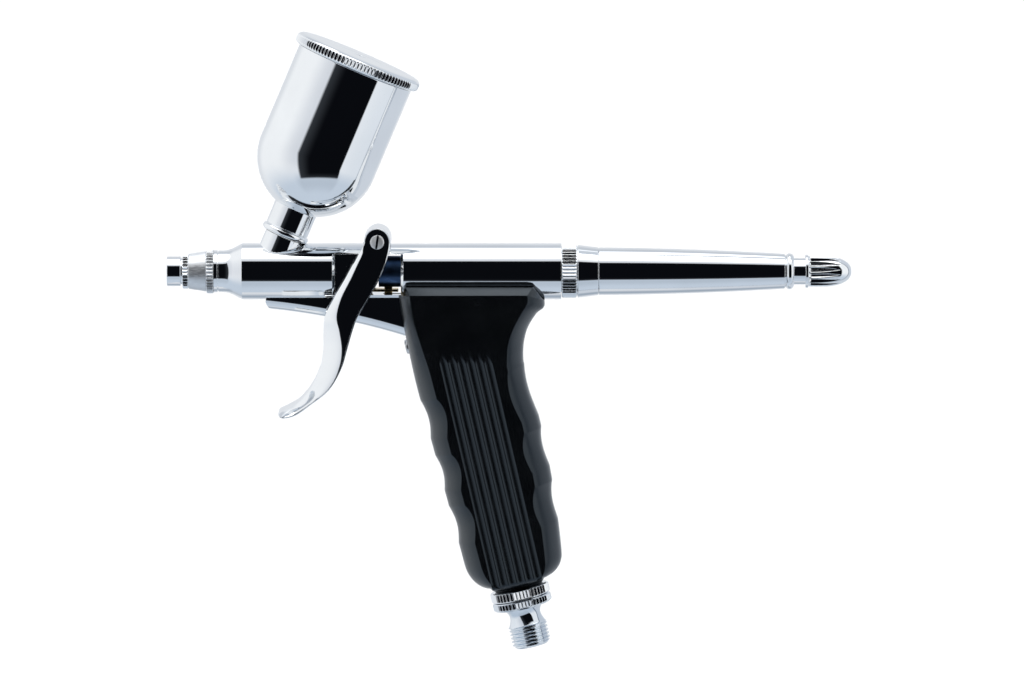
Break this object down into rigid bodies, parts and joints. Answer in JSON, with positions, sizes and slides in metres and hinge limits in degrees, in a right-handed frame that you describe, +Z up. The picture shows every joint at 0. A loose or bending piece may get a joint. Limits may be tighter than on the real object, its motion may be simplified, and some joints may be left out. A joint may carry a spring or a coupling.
{
  "type": "airbrush gun",
  "caption": "Pistol-grip trigger airbrush with a tilted gravity cup and lid, side window, air valve, needle stop adjuster and a black ribbed grip above a threaded hose fitting.",
  "frame": {"origin": "centre of the needle cap's front face, on the barrel and needle axis", "axes": "+X along the barrel from the nozzle towards the handle, +Z up on the side of the cup, +Y across the gun towards its far side"},
  "size_m": [0.171, 0.0328, 0.1552],
  "materials": {
    "chromed_body": "mirror chrome plate on brass",
    "chromed_head": "mirror chrome plate, knurled bands",
    "chromed_cup": "mirror chrome plate, spun",
    "chromed_lid": "bright chrome plate, knurled rim",
    "chromed_trigger": "mirror chrome plate on a cast lever",
    "chromed_handle": "mirror chrome plate, turned",
    "chromed_fitting": "chrome plate, knurled and threaded",
    "steel": "turned stainless steel",
    "dark_steel": "ground steel, slightly dark",
    "spring_steel": "drawn spring wire",
    "brass": "turned brass",
    "ptfe": "white PTFE",
    "rubber": "black nitrile",
    "grip_plastic": "satin black moulded plastic"
  },
  "bodies": {
    "root": {"main_body": "chromed_body", "needle_cap": "chromed_head", "nozzle_cap": "chromed_head", "fluid_nozzle": "brass", "nozzle_seal": "ptfe", "needle_packing": "ptfe", "packing_screw": "brass", "cup_seal": "ptfe", "cup": "chromed_cup", "pivot_screw": "steel", "pivot_nut": "steel", "spring_seat": "brass", "rear_sleeve": "chromed_handle", "handle": "chromed_handle", "valve_packing": "ptfe", "valve_seat": "brass", "valve_plug": "brass", "grip": "grip_plastic", "grip_screw": "steel", "air_tube": "steel", "grip_collar": "grip_plastic", "grip_lock_ring": "chromed_fitting", "hose_washer": "ptfe", "hose_joint": "chromed_fitting"},
    "trigger": {"trigger": "chromed_trigger"},
    "needle_drive": {"drive_sleeve": "dark_steel", "air_push_bar": "brass", "fluid_needle": "steel", "chuck_nut": "steel", "needle_spring": "spring_steel"},
    "air_valve": {"valve_stem": "brass", "valve_seal": "rubber", "valve_spring": "spring_steel"},
    "lid": {"cup_lid": "chromed_lid"},
    "needle_stop": {"needle_stop": "steel"},
    "adjuster": {"adjuster_knob": "chromed_handle", "adjuster_o_ring": "rubber"}
  },
  "joints": [
    {"name": "trigger_pull", "type": "hinge", "parent": "root", "child": "trigger", "pos_m": [0.05265, 0, 0.008], "axis": [0, -1, 0], "range_deg": [0, 18], "stiffness_Nm_per_rad": 0.077, "springref_deg": -24.06},
    {"name": "needle_slide", "type": "slide", "parent": "root", "child": "needle_drive", "axis": [1, 0, 0], "range_m": [0, 0.0026], "deforming": ["needle_spring"]},
    {"name": "air_valve_slide", "type": "slide", "parent": "root", "child": "air_valve", "axis": [1, 0, 0], "range_m": [0, 0.0026], "deforming": ["valve_spring"]},
    {"name": "lid_lift", "type": "slide", "parent": "root", "child": "lid", "axis": [0.3907, 0, 0.9205], "range_m": [0, 0.025]},
    {"name": "adjuster_travel", "type": "slide", "parent": "root", "child": "needle_stop", "axis": [-1, 0, 0], "range_m": [0, 0.00225]},
    {"name": "adjuster_turn", "type": "hinge", "parent": "needle_stop", "child": "adjuster", "pos_m": [0.165, 0, 0], "axis": [-1, 0, 0], "range_deg": [0, 1080]}
  ],
  "couplings": [
    {"joint": "needle_slide", "follows": "trigger_pull", "m_per_rad": 0.00802},
    {"joint": "air_valve_slide", "follows": "trigger_pull", "m_per_rad": 0.00802},
    {"joint": "adjuster_turn", "follows": "adjuster_travel", "rad_per_m": 8377.6}
  ]
}
